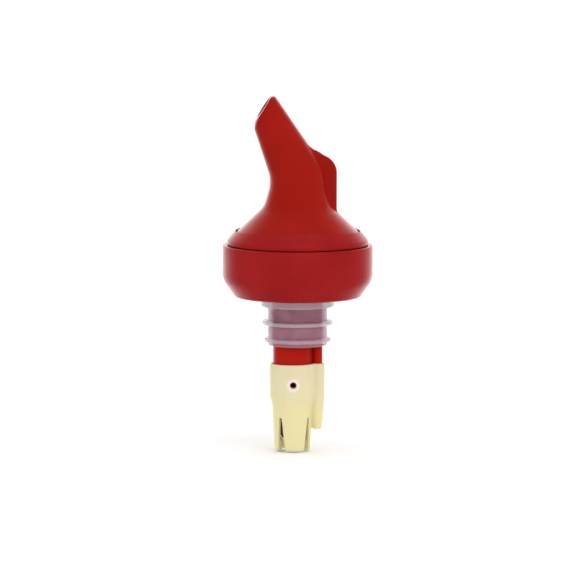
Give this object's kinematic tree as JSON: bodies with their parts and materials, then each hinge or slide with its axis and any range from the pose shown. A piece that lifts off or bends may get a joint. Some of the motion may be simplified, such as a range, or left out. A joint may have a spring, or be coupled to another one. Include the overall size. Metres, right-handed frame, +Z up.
{
  "type": "liquor pour spout",
  "caption": "Measured free-pour spout: a slanted spout and vent fin over a wide collar, a ribbed cork, and a timing cup that cages steel balls.",
  "frame": {"origin": "on the cork's axis at the underside of the cork's flange, the plane of the bottle's lip", "axes": "+Z up out of the bottle, the spout leans towards -X, the breather and the vent fin are on +X, the timing hole faces -Y"},
  "size_m": [0.0444, 0.0444, 0.1053],
  "materials": {
    "spout_red": "moulded red plastic, soft gloss",
    "collar_red": "moulded red plastic, soft gloss",
    "cork_frosted": "frosted translucent elastomer",
    "cup_cream": "cream plastic, slightly translucent",
    "ball_steel": "polished stainless steel ball"
  },
  "bodies": {
    "pourer": {"spout_body": "spout_red", "collar_cap": "collar_red", "collar_base": "collar_red", "cork": "cork_frosted", "timing_cup": "cup_cream"},
    "metering_ball": {"metering_ball": "ball_steel"},
    "check_ball": {"check_ball": "ball_steel"},
    "vent_ball": {"vent_ball": "ball_steel"}
  },
  "joints": [
    {"name": "metering_slide", "type": "slide", "parent": "pourer", "child": "metering_ball", "axis": [0, 0, 1], "range_m": [0, 0.04539]},
    {"name": "check_slide", "type": "slide", "parent": "pourer", "child": "check_ball", "axis": [0, 0, 1], "range_m": [0, 0.00165]},
    {"name": "vent_slide", "type": "slide", "parent": "pourer", "child": "vent_ball", "axis": [0, 0, 1], "range_m": [0, 0.00218]}
  ]
}
